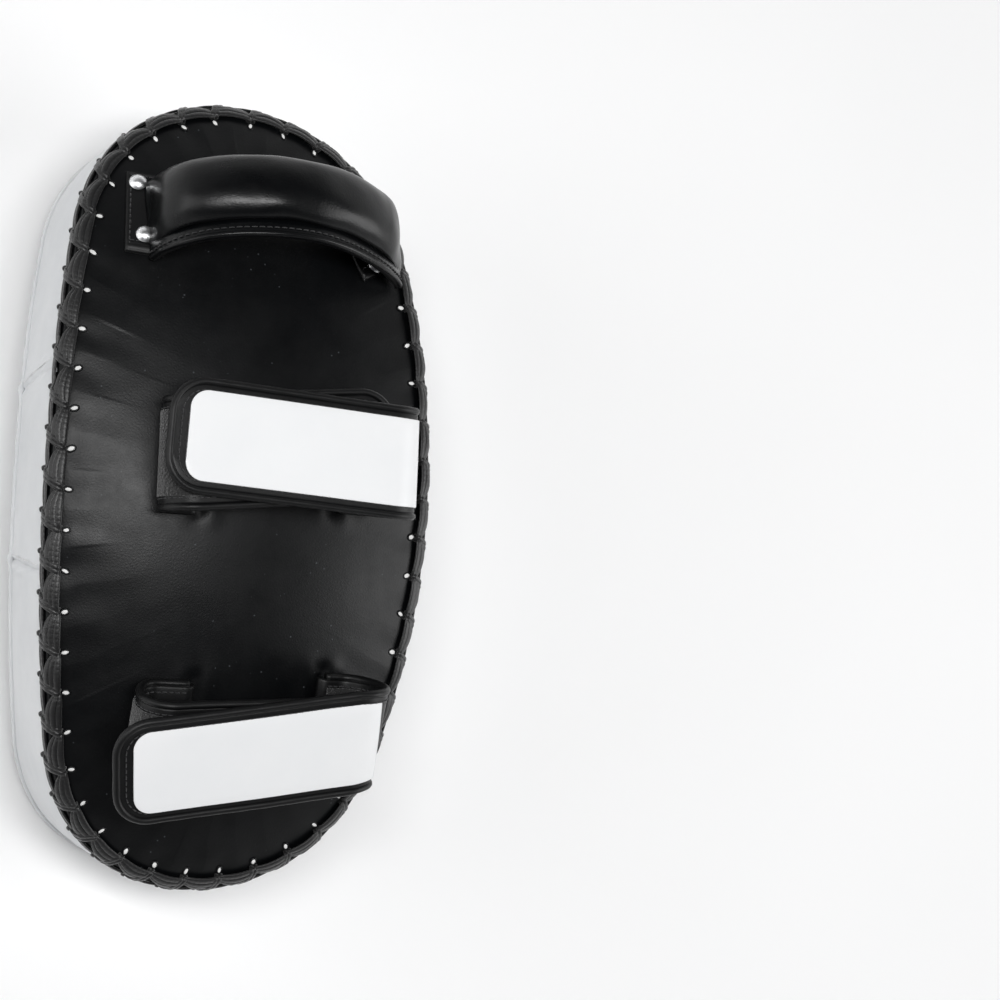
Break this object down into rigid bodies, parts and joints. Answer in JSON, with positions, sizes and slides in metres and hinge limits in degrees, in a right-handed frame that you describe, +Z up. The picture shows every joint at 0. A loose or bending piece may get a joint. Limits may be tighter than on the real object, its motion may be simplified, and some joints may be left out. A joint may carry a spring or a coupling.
{
  "type": "thai pad",
  "caption": "Curved forearm kick pad with a laced black back, white foam body, padded grip handle and hook-and-loop arm straps whose flaps open.",
  "frame": {"origin": "on the floor below the middle of the pad, which lies on its strike face with the straps up", "axes": "+Y along the pad towards the handle, +Z up out of the back panel, +X to the wearer's side where the strap flaps turn over"},
  "size_m": [0.2032, 0.3994, 0.1841],
  "materials": {
    "black_leather": "semi-gloss black cowhide, fine grain",
    "white_leather": "satin white, smooth",
    "lace_braid": "flat woven nylon lace, waxed",
    "lining_cloth": "plain white lining cloth",
    "stiff_board": "fibre board",
    "dense_foam": "closed-cell foam, dense",
    "soft_foam": "open-cell foam, soft",
    "nickel": "polished nickel plate",
    "hook_tape": "hook tape, bristly",
    "loop_tape": "loop tape, brushed"
  },
  "bodies": {
    "pad": {"back_panel": "black_leather", "back_cushion": "soft_foam", "back_lining": "lining_cloth", "backing_board": "stiff_board", "foam_back": "dense_foam", "foam_middle": "dense_foam", "foam_strike": "soft_foam", "wall_lower": "white_leather", "wall_middle": "white_leather", "wall_upper": "white_leather", "strike_face": "white_leather", "front_piping": "white_leather", "edge_lace": "lace_braid", "handle_cover": "black_leather", "handle_core": "dense_foam", "handle_tab_left": "black_leather", "handle_tab_right": "black_leather", "handle_rivets_left": "nickel", "handle_rivets_right": "nickel", "handle_washers_left": "nickel", "handle_washers_right": "nickel", "upper_strap": "black_leather", "upper_fold": "black_leather", "upper_strap_binding": "black_leather", "upper_loop_tape": "loop_tape", "lower_strap": "black_leather", "lower_fold": "black_leather", "lower_strap_binding": "black_leather", "lower_loop_tape": "loop_tape"},
    "upper_flap": {"upper_flap": "black_leather", "upper_flap_binding": "black_leather", "upper_flap_patch": "white_leather", "upper_hook_tape": "hook_tape"},
    "lower_flap": {"lower_flap": "black_leather", "lower_flap_binding": "black_leather", "lower_flap_patch": "white_leather", "lower_hook_tape": "hook_tape"}
  },
  "joints": [
    {"name": "upper_flap_open", "type": "hinge", "parent": "pad", "child": "upper_flap", "pos_m": [0.0594, 0.02178, 0.16489], "axis": [0, 0.9988, -0.0492], "range_deg": [0, 160], "deforming": ["upper_fold"]},
    {"name": "lower_flap_open", "type": "hinge", "parent": "pad", "child": "lower_flap", "pos_m": [0.0551, -0.11884, 0.14682], "axis": [0, 0.925, 0.38], "range_deg": [0, 160], "deforming": ["lower_fold"]}
  ]
}
